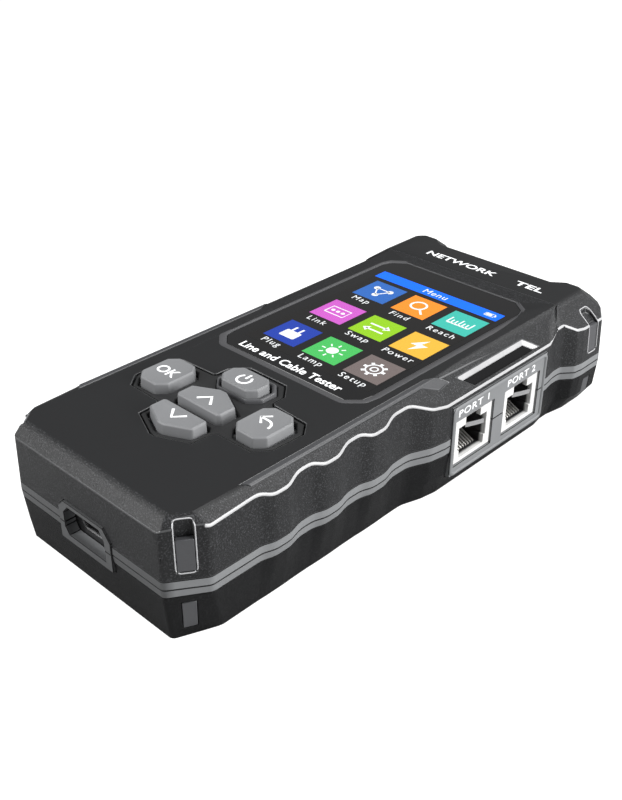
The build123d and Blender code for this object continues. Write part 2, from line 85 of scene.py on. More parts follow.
CASE_TREE = BVHTree.FromObject(NODES["front_shell"], bpy.context.evaluated_depsgraph_get())


# ---- sizes and colours


def length(name, description, millimetres):
    """Length setting whose default is given in millimetres."""
    return FloatProperty(name=name, description=description, default=millimetres * MM, unit="LENGTH",
                         precision=5)


def tint(name, description, default):
    """Colour setting."""
    return FloatVectorProperty(name=name, description=description, subtype="COLOR", size=3,
                               default=default, min=0, max=1)


class TesterSizes(PropertyGroup):
    """Sizes that shape the tester's edges and lettering."""

    case_edge: length("Case edge", "Width of the rounded case edges", 0.22)
    case_round: length("Case rounding", "Width of the soft rounding between the face and its slopes", 1.3)
    # The bright flank line is a painted highlight: a pale finish on the rounded edge of the right-hand flank.
    flank_edge: length("Flank line", "Width of the bright line along the flank", 0.40)
    trim_edge: length("Trim edge", "Width of the rounded edges on bands and small trim", 0.16)
    key_round: length("Key rounding", "Width of the chamfer round a keycap's top", 0.42)
    key_dish: length("Key dish", "Depth of the hollow in a keycap's top", 0.1)
    caption_size: length("Caption size", "Height of the captions on the display", 3.2)
    label_size: length("Label size", "Height of the words printed on the case", 3.9)


class TesterColours(PropertyGroup):
    """Colours of the tester's visible plastics."""

    shell: tint("Shell", "Matte black of the case", (0.011, 0.0113, 0.012))
    trim: tint("Trim", "Grey of the seam bands and the socket frame", (0.17, 0.175, 0.18))
    keys: tint("Keys", "Grey of the keycaps", (0.155, 0.158, 0.163))
    sockets: tint("Sockets", "White of the socket housings", (0.64, 0.64, 0.63))
    ink: tint("Ink", "White of the printed words and symbols", (0.86, 0.87, 0.88))


# ---- shapes worked out with numpy


def unit(vectors):
    """Vectors divided by their lengths."""
    return vectors / np.linalg.norm(vectors, axis=-1, keepdims=True)


def rounded(corners, radius, steps=6):
    """Closed outline in which each corner is an arc.

    At a corner between unit directions a and b, with angle f between them, the arc's centre lies
    radius / sin(f / 2) along the bisector, and the arc sweeps pi - f from one tangent point to the other.
    """
    points = np.array(corners, float)
    radii = np.broadcast_to(np.array(radius, float), len(points))
    a = unit(np.roll(points, 1, 0) - points)
    b = unit(np.roll(points, -1, 0) - points)
    half = np.arccos(np.clip((a * b).sum(1), -1, 1)) / 2
    centres = points + unit(a + b) * (radii / np.sin(half))[:, None]
    start = points + a * (radii / np.tan(half))[:, None] - centres
    turn = np.sign(b[:, 0] * a[:, 1] - b[:, 1] * a[:, 0])
    first = np.arctan2(start[:, 1], start[:, 0])
    swept = first[:, None] + turn[:, None] * (math.pi - 2 * half)[:, None] * np.linspace(0, 1, steps)
    arcs = np.stack([np.cos(swept), np.sin(swept)], -1) * radii[:, None, None]
    return (centres[:, None] + arcs).reshape(-1, 2)


def signed_area(outline):
    """Twice the area within an outline, positive where it runs counter-clockwise.

    It is the sum of the cross products of each point and the next.
    """
    following = np.roll(outline, -1, 0)
    return (outline[:, 0] * following[:, 1] - outline[:, 1] * following[:, 0]).sum()


def inset(outline, amount):
    """Outline moved inwards: each point goes along the mean of its two edges' normals."""
    edge = unit(np.roll(outline, -1, 0) - outline)
    normal = np.stack([-edge[:, 1], edge[:, 0]], 1)
    mean = unit(normal + np.roll(normal, 1, 0))
    stretch = 1 / np.clip((mean * normal).sum(1), 0.5, 1)
    return outline + mean * (stretch * amount * np.sign(signed_area(outline)))[:, None]


def counter_clockwise(outline):
    """Outline turned so that it runs counter-clockwise."""
    outline = np.array(outline, float)
    return outline if signed_area(outline) > 0 else outline[::-1]


def mirrored(right):
    """Right half of a symmetric outline, completed with its mirror image."""
    return right + [(-x, y) for x, y in reversed(right)]


def octagon(x0, x1, y0, y1, cut):
    """Rectangle with its corners cut off."""
    return [(x0 + cut, y0), (x1 - cut, y0), (x1, y0 + cut), (x1, y1 - cut),
            (x1 - cut, y1), (x0 + cut, y1), (x0, y1 - cut), (x0, y0 + cut)]


def block(x0, x1, y0, y1):
    """Corners of a rectangle."""
    return [(x0, y0), (x1, y0), (x1, y1), (x0, y1)]


def grid_quads(rows, columns, rows_close=False):
    """Faces of a grid whose columns close on themselves, and whose rows do so if asked."""
    row = np.arange(rows if rows_close else rows - 1)[:, None]
    column = np.arange(columns)[None, :]
    right = (column + 1) % columns
    above = (row + 1) % rows
    quads = [row * columns + column, row * columns + right, above * columns + right, above * columns + column]
    return np.stack(np.broadcast_arrays(*quads), -1).reshape(-1, 4).tolist()


def shrunk(corners, radius, amount):
    """Rounded outline moved inwards: its corners go in, and their radius loses the same amount, but
    stays at a least radius of 0.12 mm."""
    return rounded(inset(counter_clockwise(corners), amount), max(radius - amount, 0.12))


def tower(corners, radius, profile):
    """Closed solid: a rounded outline is carried up the profile's rows (inset, height) and capped."""
    loops = [shrunk(corners, radius, d) for d, _ in profile]
    return capped([np.column_stack([loop, np.full(len(loop), z)]) for loop, (_, z) in zip(loops, profile)])


def capped(rings):
    """Closed solid through rings of equal count, with a flat face at each end."""
    count = len(rings[0])
    faces = grid_quads(len(rings), count)
    faces.append(list(range(count))[::-1])
    faces.append(list(range((len(rings) - 1) * count, len(rings) * count)))
    return np.concatenate(rings), faces


def ring(outer, inner, section):
    """Closed ring between two outlines of equal count: each section point (share, height) lies at
    that share of the way from the outer outline to the inner one."""
    outer, inner = counter_clockwise(outer), counter_clockwise(inner)
    loops = [np.column_stack([outer * (1 - s) + inner * s, np.full(len(outer), z)]) for s, z in section]
    return np.concatenate(loops), grid_quads(len(loops), len(outer), rows_close=True)


def plate(outline, z0, z1):
    """Thin closed slab between two heights."""
    outline = counter_clockwise(outline)
    return capped([np.column_stack([outline, np.full(len(outline), z)]) for z in (z0, z1)])


def stroke(points, width):
    """Outline of a line of even width: each point is moved to both sides along its mean normal."""
    points = np.array(points, float)
    along = unit(np.gradient(points, axis=0))
    side = np.stack([-along[:, 1], along[:, 0]], 1) * width / 2
    return np.concatenate([points + side, (points - side)[::-1]])


def arc(x, y, radius, start, end, steps=20):
    """Points along a circle from one angle to another, in degrees."""
    angle = np.radians(np.linspace(start, end, steps))
    return np.column_stack([x + radius * np.cos(angle), y + radius * np.sin(angle)])


def disc(x, y, radius, steps=24):
    """Outline of a circle."""
    return arc(x, y, radius, 0, 360 - 360 / steps, steps)


def tube(path, outward, radius, sides=8):
    """Closed tube along a closed path: at each point a circle is drawn on the outward direction and
    the direction square to it and to the path."""
    along = unit(np.roll(path, -1, 0) - np.roll(path, 1, 0))
    across = unit(np.cross(along, outward))
    up = np.cross(across, along)
    angle = np.linspace(0, 2 * math.pi, sides, endpoint=False)
    circle = np.cos(angle)[:, None, None] * across + np.sin(angle)[:, None, None] * up
    return (path + circle * radius).reshape(-1, 3), grid_quads(sides, len(path), rows_close=True)


def on_case(start, inward):
    """Points of the case's front shell that are met from each start, going inward, with their normals."""
    hits = [CASE_TREE.ray_cast(Vector(p) * MM, Vector(inward)) for p in start]
    return np.array([h[0] for h in hits]) / MM, np.array([h[1] for h in hits])


def joined(shapes):
    """Several (points, faces) shapes as one."""
    points, faces, start = [], [], 0
    for shape_points, shape_faces in shapes:
        points.append(shape_points)
        faces += [[start + i for i in face] for face in shape_faces]
        start += len(shape_points)
    return np.concatenate(points), faces


def on_side(points):
    """Shape drawn in X, Y and height, stood on the +X side: its X runs along Y and its Y runs up."""
    return points[:, [2, 0, 1]]


# ---- pieces

SHARP_ANGLE = math.radians(34)


def piece(name, shape, look, body="root", replaces=(), smooth=True):
    """Mesh object from a shape in millimetres, in its place, riding on its body."""
    points, faces = shape
    mesh = bpy.data.meshes.new(name)
    mesh.from_pydata((np.asarray(points) * MM).tolist(), [], faces)
    mesh.validate()
    made = bmesh.new()
    made.from_mesh(mesh)
    bmesh.ops.recalc_face_normals(made, faces=made.faces)
    made.to_mesh(mesh)
    made.free()
    return dress(name, mesh, look, body, replaces, smooth)


def dress(name, mesh, look, body, replaces=(), smooth=True):
    """Object for a finished mesh, with its look (the plain name of a finish), shading and body; the nodes it
    replaces are hidden.
    """
    made = bpy.data.objects.new(name, mesh)
    bpy.context.scene.collection.objects.link(made)
    mesh.materials.clear()
    mesh.materials.append(FINISHES[look])
    if smooth:
        mesh.shade_smooth()
        mesh.set_sharp_from_angle(angle=SHARP_ANGLE)
    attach(made, body)
    if replaces:
        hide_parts(*replaces)
    return made


def outer_case_edge(edge, middle, high_z, low):
    """Kind of a case edge: wide where faces meet slopes, bright along the lit right-hand flank, whose pale
    finish paints its highlight, thin elsewhere.
    """
    x, y, z = middle
    face_to_slope = edge.is_convex and z > FACE_TOP - 0.1 and high_z > LEVEL and low.z > SLOPE
    slope_to_slope = high_z < LEVEL and low.z > SLOPE
    under_case = z < 0.05 and low.z < -LEVEL and high_z > -0.6
    if face_to_slope or slope_to_slope or under_case:
        return "wide"
    flank = edge.is_convex and SLOPE < high_z < LEVEL and low.x > 0.5 and abs(low.z) < WALL
    in_window = WINDOW_SPAN[0] < y < WINDOW_SPAN[1] and x < WINDOW_REACH
    in_head_slot = HEAD_SLOT_SPAN[0] < y < HEAD_SLOT_SPAN[1] and x < HEAD_SLOT_REACH
    outwards = NEAR_SLOT_OUTWARD[0] * x + NEAR_SLOT_OUTWARD[1] * y
    in_near_slot = y < NEAR_SLOT_END and outwards < NEAR_SLOT_DEPTH
    if flank and x > FLANK_FOLD + 1.2 and not (in_window or in_head_slot or in_near_slot):
        return "bright"
    return "thin"


def mark_edges(made, kind_of, least):
    """Writes a bevel weight attribute for each kind of edge that turns more than the least angle.

    Wide edges beside the near corners' slots and over the end sockets stay sharp, so that the
    openings keep their mouths.
    """
    layers = {kind: made.edges.layers.float.new(kind + "_edge") for kind in ("thin", "wide", "bright")}
    for edge in made.edges:
        if len(edge.link_faces) != 2 or edge.calc_face_angle(0) < least:
            continue
        normals = sorted((face.normal for face in edge.link_faces), key=lambda normal: normal.z)
        middle = (edge.verts[0].co + edge.verts[1].co) / 2 / MM
        near_corner = middle.y < NEAR_CORNER_END and abs(middle.x) > NEAR_CORNER_SIDE
        beside_opening = near_corner or middle.y > RIDGE_BACK
        kind = kind_of(edge, middle, normals[1].z, normals[0])
        if kind != "wide" or not beside_opening:
            edge[layers[kind]] = 1.0


def softened(node, edge, look, edge_look, name=None, angle=24, kinds=None):
    """Copy of a CAD node with its loose triangles merged and its sharp edges rounded.

    Thin edges take the edge width; kinds may give other widths and finishes for wide and bright edges.
    """
    name, gap = name or f"{node}_skin", 0.004 * MM
    mesh = NODES[node].data.copy()
    mesh.name = name
    made = bmesh.new()
    made.from_mesh(mesh)
    bmesh.ops.remove_doubles(made, verts=made.verts, dist=gap)
    bmesh.ops.dissolve_degenerate(made, edges=made.edges, dist=gap)
    bmesh.ops.dissolve_limit(
        made, angle_limit=math.radians(0.6), use_dissolve_boundaries=False,
        verts=made.verts, edges=made.edges)
    made.normal_update()
    mark_edges(made, outer_case_edge if kinds else lambda *_: "thin", math.radians(angle))
    made.to_mesh(mesh)
    made.free()
    copy = dress(name, mesh, look, "root", (node,))
    mesh.shade_smooth()
    steps = {"wide": (0, None), "bright": (0, None), "thin": (edge, edge_look), **(kinds or {})}
    for kind, (width, its_look) in steps.items():
        if not width:
            continue
        rounding = copy.modifiers.new(kind + " edges", "BEVEL")
        rounding.width = width
        rounding.segments = 3 if kind == "wide" else 2
        rounding.limit_method = "WEIGHT"
        rounding.edge_weight = kind + "_edge"
        rounding.use_clamp_overlap = False
        if its_look:
            mesh.materials.append(FINISHES[its_look])
            rounding.material = len(mesh.materials) - 1
    even = copy.modifiers.new("Even shading", "WEIGHTED_NORMAL")
    even.keep_sharp = True
    even.weight = 100
    return copy


def words(name, text, size, place, look, turn=None, body="root", width=None, bold=0.0,
          spacing=1.0):
    """Word in the built-in face, as a closed thin mesh, its middle at place (millimetres)."""
    curve = bpy.data.curves.new(name, "FONT")
    curve.body = text
    curve.size = size
    curve.offset = bold * MM
    curve.space_character = spacing
    curve.extrude = INK * MM / 2
    curve.resolution_u = 4
    holder = bpy.data.objects.new(name + "_text", curve)
    bpy.context.scene.collection.objects.link(holder)
    mesh = bpy.data.meshes.new_from_object(holder.evaluated_get(bpy.context.evaluated_depsgraph_get()))
    bpy.data.objects.remove(holder)
    mesh.name = name
    points = np.array([v.co for v in mesh.vertices], float)
    points[:, :2] -= (points[:, :2].min(0) + points[:, :2].max(0)) / 2
    if width:
        points[:, 0] *= width * MM / np.ptp(points[:, 0])
    if turn is not None:
        points = turn(points)
    points += np.array(place) * MM
    mesh.vertices.foreach_set("co", points.astype(np.float32).ravel())
    mesh.update()
    merge = bmesh.new()
    merge.from_mesh(mesh)
    bmesh.ops.remove_doubles(merge, verts=merge.verts, dist=1e-7)
    merge.to_mesh(mesh)
    merge.free()
    return dress(name, mesh, look, body, smooth=False)


# ---- shader groups and finishes


def group(name, inputs, outputs):
    """Empty shader group with named inputs (name, default) and outputs (name, socket type)."""
    made = bpy.data.node_groups.new(name, "ShaderNodeTree")
    for label, default in inputs:
        socket = made.interface.new_socket(label, in_out="INPUT", socket_type="NodeSocketFloat")
        socket.default_value = default
    for label, kind in outputs:
        made.interface.new_socket(label, in_out="OUTPUT", socket_type=kind)
    return made, made.nodes.new("NodeGroupInput"), made.nodes.new("NodeGroupOutput")


def noise(made, entry, **settings):
    """Noise on the piece's own coordinates, whose scale the group's user gives."""
    place = made.nodes.new("ShaderNodeTexCoord")
    node = made.nodes.new("ShaderNodeTexNoise")
    for label, value in settings.items():
        node.inputs[label.capitalize()].default_value = value
    made.links.new(place.outputs["Object"], node.inputs["Vector"])
    made.links.new(entry.outputs["Scale"], node.inputs["Scale"])
    return node.outputs["Fac"]


def computed(nodes, links, operation, *values, clamp=False):
    """Math node; each value is a number or another node's output."""
    node = nodes.new("ShaderNodeMath")
    node.operation = operation
    node.use_clamp = clamp
    for socket, value in zip(node.inputs, values):
        put(links, socket, value)
    return node.outputs["Value"]


def put(links, socket, value):
    """Gives a socket a number or colour, or links it to another node's output."""
    if isinstance(value, bpy.types.NodeSocket):
        links.new(value, socket)
    else:
        socket.default_value = value


def moulded_grain():
    """Fine spark-eroded grain, as a mask and a bumped normal."""
    made, entry, leave = group(
        "Moulded grain",
        [("Scale", 3000.0), ("Strength", 0.3), ("Depth", 0.00003)],
        [("Mask", "NodeSocketFloat"), ("Normal", "NodeSocketVector")])
    links = made.links
    grain = noise(made, entry, detail=3.0, roughness=0.65)
    bump = made.nodes.new("ShaderNodeBump")
    links.new(entry.outputs["Strength"], bump.inputs["Strength"])
    links.new(entry.outputs["Depth"], bump.inputs["Distance"])
    links.new(grain, bump.inputs["Height"])
    links.new(grain, leave.inputs["Mask"])
    links.new(bump.outputs["Normal"], leave.inputs["Normal"])
    return made


def handling():
    """Slow uneven mask of finger grease and fine dust, 0 where clean and 1 where handled."""
    made, entry, leave = group(
        "Handling", [("Scale", 60.0), ("Contrast", 0.5)], [("Mask", "NodeSocketFloat")])
    nodes, links = made.nodes, made.links
    centred = computed(nodes, links, "SUBTRACT", noise(made, entry, detail=5.0, distortion=0.6), 0.5)
    mask = computed(nodes, links, "MULTIPLY_ADD", centred, entry.outputs["Contrast"], 0.5, clamp=True)
    links.new(mask, leave.inputs["Mask"])
    return made


GROUPS = {}


def placed(nodes, key, **values):
    """Node that uses a shared group, with its own input values."""
    node = nodes.new("ShaderNodeGroup")
    node.node_tree = GROUPS[key]
    for label, value in values.items():
        node.inputs[label.capitalize()].default_value = value
    return node


def ranged(nodes, links, source, low, high, from_low=0.0, from_high=1.0):
    """Map Range node between two values, driven by a mask."""
    node = nodes.new("ShaderNodeMapRange")
    node.inputs["From Min"].default_value = from_low
    node.inputs["From Max"].default_value = from_high
    node.inputs["To Min"].default_value = low
    node.inputs["To Max"].default_value = high
    links.new(source, node.inputs["Value"])
    return node.outputs["Result"]


def mixed(nodes, links, kind, mask, first, second):
    """Mix node that goes from first to second with a mask; each is a value or another node's output."""
    node = nodes.new("ShaderNodeMix")
    node.data_type = kind
    links.new(mask, node.inputs["Factor"])
    put(links, node.inputs["A"], first)
    put(links, node.inputs["B"], second)
    return node.outputs["Result"]


def along_axis(nodes, links, name, axis):
    """One axis of a texture coordinate or of the surface's own geometry."""
    place = nodes.new("ShaderNodeNewGeometry" if name == "True Normal" else "ShaderNodeTexCoord")
    axes = nodes.new("ShaderNodeSeparateXYZ")
    links.new(place.outputs[name], axes.inputs["Vector"])
    return axes.outputs[axis]


def shade(colour, factor):
    """Colour made lighter or darker."""
    return tuple(min(1.0, c * factor) for c in colour)


def solid(colour, factor=1.0):
    """Colour made lighter or darker, with full alpha, as a colour socket takes it."""
    return (*shade(colour, factor), 1)


def finish(name, colour, rough, spread=0.08, grain=2500.0, bump=0.15, depth=0.00002, metallic=0.0,
           coat=0.0, coat_rough=0.05, contrast=0.9, tone=0.12, specular=0.5, glow=0.0):
    """Moulded or metal finish: handled patches change tone and roughness, grain bumps the surface."""
    material = bpy.data.materials.new(name)
    material.use_nodes = True
    nodes, links = material.node_tree.nodes, material.node_tree.links
    shader = nodes["Principled BSDF"]
    shader.inputs["Metallic"].default_value = metallic
    shader.inputs["Specular IOR Level"].default_value = specular
    shader.inputs["Coat Weight"].default_value = coat
    shader.inputs["Coat Roughness"].default_value = coat_rough
    patches = placed(nodes, "handling", scale=70.0, contrast=contrast)
    grains = placed(nodes, "grain", scale=grain, strength=bump, depth=depth)
    colours = mixed(nodes, links, "RGBA", patches.outputs["Mask"], solid(colour, 1 - tone),
                    solid(colour, 1 + tone))
    links.new(colours, shader.inputs["Base Color"])
    links.new(ranged(nodes, links, patches.outputs["Mask"], rough + spread / 2, rough - spread / 2),
              shader.inputs["Roughness"])
    links.new(grains.outputs["Normal"], shader.inputs["Normal"])
    if glow:
        links.new(colours, shader.inputs["Emission Color"])
        shader.inputs["Emission Strength"].default_value = glow
    return material


def case_finish(name, colour, specular=0.26, glint_tone=6.5):
    """Case plastic: smooth satin on level faces, coarse spark grain on slopes and walls, with pale flecks
    that are painted glints of the grain.
    """
    material = bpy.data.materials.new(name)
    material.use_nodes = True
    nodes, links = material.node_tree.nodes, material.node_tree.links
    shader = nodes["Principled BSDF"]
    shader.inputs["Specular IOR Level"].default_value = specular
    sloped = ranged(nodes, links, along_axis(nodes, links, "True Normal", "Z"), 1.0, 0.0, 0.93, LEVEL)
    patches = placed(nodes, "handling", scale=45.0, contrast=1.3)
    coarse = placed(nodes, "grain", scale=2800.0, strength=1.0, depth=0.00009)
    fine = placed(nodes, "grain", scale=5200.0, strength=0.2, depth=0.000015)
    # Pale flecks where the coarse grain peaks: painted glints on slopes and walls.
    glint_mark = ranged(nodes, links, coarse.outputs["Mask"], 0.0, 1.0, 0.52, 0.74)
    weight = computed(nodes, links, "MULTIPLY", glint_mark, sloped)
    handled = patches.outputs["Mask"]
    base = mixed(nodes, links, "RGBA", handled, solid(colour, 0.9), solid(colour, 1.12))
    with_glints = mixed(nodes, links, "RGBA", weight, base, solid(colour, glint_tone))
    rough = mixed(nodes, links, "FLOAT", sloped, ranged(nodes, links, handled, 0.50, 0.42), 0.40)
    normals = mixed(nodes, links, "VECTOR", sloped, fine.outputs["Normal"], coarse.outputs["Normal"])
    links.new(with_glints, shader.inputs["Base Color"])
    links.new(rough, shader.inputs["Roughness"])
    links.new(normals, shader.inputs["Normal"])
    return material


def board_finish(name, colour):
    """Circuit board: solder mask with slightly lighter copper runs that follow a brick pattern."""
    material = finish(name, colour, 0.35, coat=0.4)
    nodes, links = material.node_tree.nodes, material.node_tree.links
    place = nodes.new("ShaderNodeTexCoord")
    runs = nodes.new("ShaderNodeTexBrick")
    runs.inputs["Scale"].default_value = 170.0
    runs.inputs["Mortar Size"].default_value = 0.03
    runs.inputs["Color1"].default_value = solid(colour, 0.8)
    runs.inputs["Color2"].default_value = solid(colour)
    runs.inputs["Mortar"].default_value = solid(colour, 1.7)
    links.new(place.outputs["Object"], runs.inputs["Vector"])
    links.new(runs.outputs["Color"], nodes["Principled BSDF"].inputs["Base Color"])
    return material


def blended_along(material, axis, dark, start, stop):
    """Painted shade: change a finish's colour from dark at start to its own colour at stop, along an object
    axis.
    """
    nodes, links = material.node_tree.nodes, material.node_tree.links
    shader = nodes["Principled BSDF"]
    own = shader.inputs["Base Color"].links[0].from_socket
    share = ranged(nodes, links, along_axis(nodes, links, "Object", axis), 0.0, 1.0, start, stop)
    links.new(mixed(nodes, links, "RGBA", share, solid(dark), own), shader.inputs["Base Color"])
    return material


def socket_finish(name, colour, axis, mouth):
    """White housing whose mouth turns black behind its front face: painted shade, as in a deep unlit socket.
    """
    # The black inside the mouth is painted shade.
    return blended_along(finish(name, colour, 0.42, tone=0.03), axis, (0.012, 0.012, 0.013),
                         mouth - 1.6 * MM, mouth - 0.9 * MM)


def trim_finish(name, colour, near_end):
    """Grey of the bands, with a painted shade that makes them darker on the end that carries the charging
    port.
    """
    return blended_along(finish(name, colour, 0.45, grain=3000.0, bump=0.2), "Y", shade(colour, 0.42),
                         near_end + END_SHADE_STRETCH[0] * MM, near_end + END_SHADE_STRETCH[1] * MM)


FINISHES = {}


def make_finishes(colours):
    """Makes every finish of the tester and keeps it under a short plain name."""
    GROUPS["grain"] = moulded_grain()
    GROUPS["handling"] = handling()
    shell, trim, keys, white, ink = (
        tuple(getattr(colours, name)) for name in ("shell", "trim", "keys", "sockets", "ink"))
    FINISHES.update({
        "case": case_finish("case_black", shell),
        # The lower shell takes a darker copy of the case black: painted shade on its downward-facing walls,
        # with a smoother finish and fewer painted glints.
        "lower_case": case_finish("case_lower_black", shade(shell, 0.55), specular=0.12, glint_tone=3.5),
        # Lighter grey on the case's thin rounded edges: a painted edge highlight.
        "case_edge": finish("case_edge_painted_highlight", (0.055, 0.056, 0.058), 0.34, grain=1800.0, bump=0.25,
                            tone=0.25),
        # Pale grey of the bright flank edges: a painted highlight on the lit right-hand flank.
        "flank": finish("flank_painted_highlight", (0.38, 0.38, 0.385), 0.36, grain=1800.0, tone=0.25),
        "strip": finish("strip_grey", (0.040, 0.041, 0.044), 0.42, grain=3000.0, bump=0.2),
        "inlay": finish("inlay_grey", (0.055, 0.056, 0.06), 0.36, grain=3000.0),
        "plain": finish("keypad_black", shell, 0.46),
        "trim": trim_finish("trim_grey", trim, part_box("upper_band")[0].y),
        "seam": finish("seam_shadow", shade(trim, 0.08), 0.6, specular=0.2),
        "keys": finish("key_grey", keys, 0.5, grain=3600.0, bump=0.2),
        "collar": finish("collar_grey", (0.065, 0.066, 0.07), 0.42),
        "stems": finish("stem_natural", (0.55, 0.54, 0.5), 0.5),
        "silicone": finish("silicone_dark", (0.05, 0.05, 0.055), 0.6, specular=0.3),
        "steel": finish("bright_steel", (0.62, 0.62, 0.63), 0.24, metallic=1.0, grain=900.0, bump=0.08),
        "lens": finish("smoked_lens", (0.004, 0.004, 0.0045), 0.12, spread=0.05, bump=0.015, coat=0.15,
                       contrast=1.4),
        "lens_frame": finish("lens_surround", (0.050, 0.050, 0.053), 0.40, grain=2200.0, bump=0.1),
        # Pale grey of the slot rims: a painted highlight on the lips of the dark case.
        "painted_rim_highlight": finish("slot_rim", (0.42, 0.42, 0.43), 0.25, grain=1800.0, bump=0.1),
        "side_socket": socket_finish("side_socket_white", white, "X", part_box("side_jack_1")[1].x),
        "end_socket": socket_finish("end_socket_white", white, "Y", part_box("end_jack")[1].y),
        "glass": finish("display_glass", (0.02, 0.025, 0.03), 0.08, coat=1.0),
        "pressed": finish("pressed_metal", (0.6, 0.6, 0.61), 0.35, metallic=1.0, grain=700.0, bump=0.1),
        "amber": finish("amber_film", (0.55, 0.26, 0.04), 0.3, coat=0.5),
        "foam": finish("black_foam", (0.02, 0.02, 0.02), 0.85, grain=1500.0, bump=0.6, depth=0.0001),
        "board": board_finish("solder_mask", (0.012, 0.11, 0.045)),
        "chip": finish("chip_epoxy", (0.022, 0.022, 0.024), 0.55, grain=2600.0, bump=0.3),
        "emitter": finish("clear_emitter", (0.75, 0.8, 0.7), 0.2, coat=0.8),
        "contacts": finish("plated_contact", (0.66, 0.65, 0.62), 0.28, metallic=0.9, bump=0.05),
        "insulator": finish("black_insulator", (0.02, 0.02, 0.02), 0.5),
        "foil": finish("cell_foil", (0.62, 0.63, 0.65), 0.3, metallic=0.9, grain=500.0, bump=0.3),
        "cream": finish("cream_connector", (0.75, 0.70, 0.58), 0.4),
        "lead": finish("lead_red", (0.45, 0.02, 0.02), 0.4),
        "rating": finish("rating_silver", (0.35, 0.35, 0.36), 0.4, metallic=0.6),
        "ink": finish("print_white", ink, 0.5, tone=0.04, bump=0.05),
        "panel_ink": finish("print_pale", shade(ink, 0.9), 0.5, tone=0.04, bump=0.05),
    })


def lit(name, colour, glow=0.27):
    """Makes a finish for part of the display's picture, its own light under a glossy cover."""
    FINISHES[name] = finish(name, shade(colour, 0.68), 0.3, tone=0.04, contrast=0.6, bump=0.0, coat=0.1,
                            coat_rough=0.1, specular=0.3, glow=glow)
    return name


# ---- outlines of the tester's own pieces

# Millimetres, seen from above.
LENS = mirrored([(20.8, -18.1), (24.3, -14.8), (24.8, -11.8), (24.8, 49.2), (23.8, 52.2), (19.8, 55.3)])
POWER_KEY = octagon(-6.5, 6.5, -34.6, -26.5, 2.2)
POWER_COLLAR = octagon(-8.1, 8.1, -35.5, -24.9, 3.0)
POWER_GAP = 0.5
KEYCAPS = {
    "ok": octagon(-22.4, -12.0, -47.1, -34.0, 2.4),
    "back": octagon(12.0, 22.4, -47.1, -34.0, 2.4),
    "power": POWER_KEY,
    "up": mirrored([(7.0, -46.2), (7.8, -45.4), (7.8, -40.8), (1.0, -37.3)]),
    "down": mirrored([(1.0, -57.3), (7.8, -54.1), (7.8, -49.9), (7.0, -49.1)]),
}
KEY_CORNER = 0.9
SKIRT_BOTTOM = 0.7
DISPLAY = (-20.9, 22.6, -11.2, 46.1)
ICON_MIDDLE, ICON_PITCH, ICON_SIZE = (2.0, 16.1), (14.4, 17.8), (11.4, 11.2)
TITLE_HEIGHT = 4.6
CAPTION_SHIFT = (-0.5, -7.8)


def key_profile(bottom, top, edge, dish):
    """Keycap's rows: a skirt, a slightly drafted wall, a crisp 45 degree chamfer and a shallow dish."""
    draft = 0.12
    rows = [(-0.8, bottom), (-0.8, bottom + 0.8), (0.0, bottom + 0.85), (draft, top - edge)]
    rows += [(draft + 0.06, top - edge + 0.1), (draft + edge - 0.12, top - 0.07), (draft + edge, top)]
    rows += [(draft + edge + 0.25, top - dish * 0.3), (draft + edge + 0.9, top - dish)]
    return rows


# ---- symbols, as flat closed strokes


def symbol(shapes, z):
    """Flat closed slabs of printed ink from several outlines."""
    return joined([plate(shape, z, z + INK) for shape in shapes])


def power_symbol(x, y, r):
    """Open ring with an upright bar through the gap."""
    return [stroke(arc(x, y, r, -230, 50), 0.62), stroke([(x, y + 0.2 * r), (x, y + 1.35 * r)], 0.62)]


def chevron(x, y, w, h):
    """Arrow head; a negative height points down."""
    return [stroke([(x - w, y - h / 2), (x, y + h / 2), (x + w, y - h / 2)], 0.7)]


def return_symbol(x, y, s):
    """Open arrow head that points left, with a tail that goes right and curves down."""
    tip_x, tip_y = x - 0.95 * s, y + 0.3 * s
    tail = arc(x, y - 0.6 * s, 0.9 * s, 90, -5, 12)
    barb_x, rise = tip_x + 0.75 * s, 0.75 * s
    return [stroke([(barb_x, tip_y + rise), (tip_x, tip_y), (barb_x, tip_y - rise)], 0.6),
            stroke(np.concatenate([[(tip_x, tip_y)], tail]), 0.6)]


def rays(x, y, near, far, width):
    """Eight straight strokes round a point, from one radius to another."""
    return [stroke(np.concatenate([arc(x, y, radius, angle, angle, 1) for radius in (near, far)]), width)
            for angle in range(0, 360, 45)]


def hoop(x, y, radius, width):
    """Circle drawn as a stroke whose ends nearly meet."""
    return stroke(arc(x, y, radius, 0, 358, 30), width)


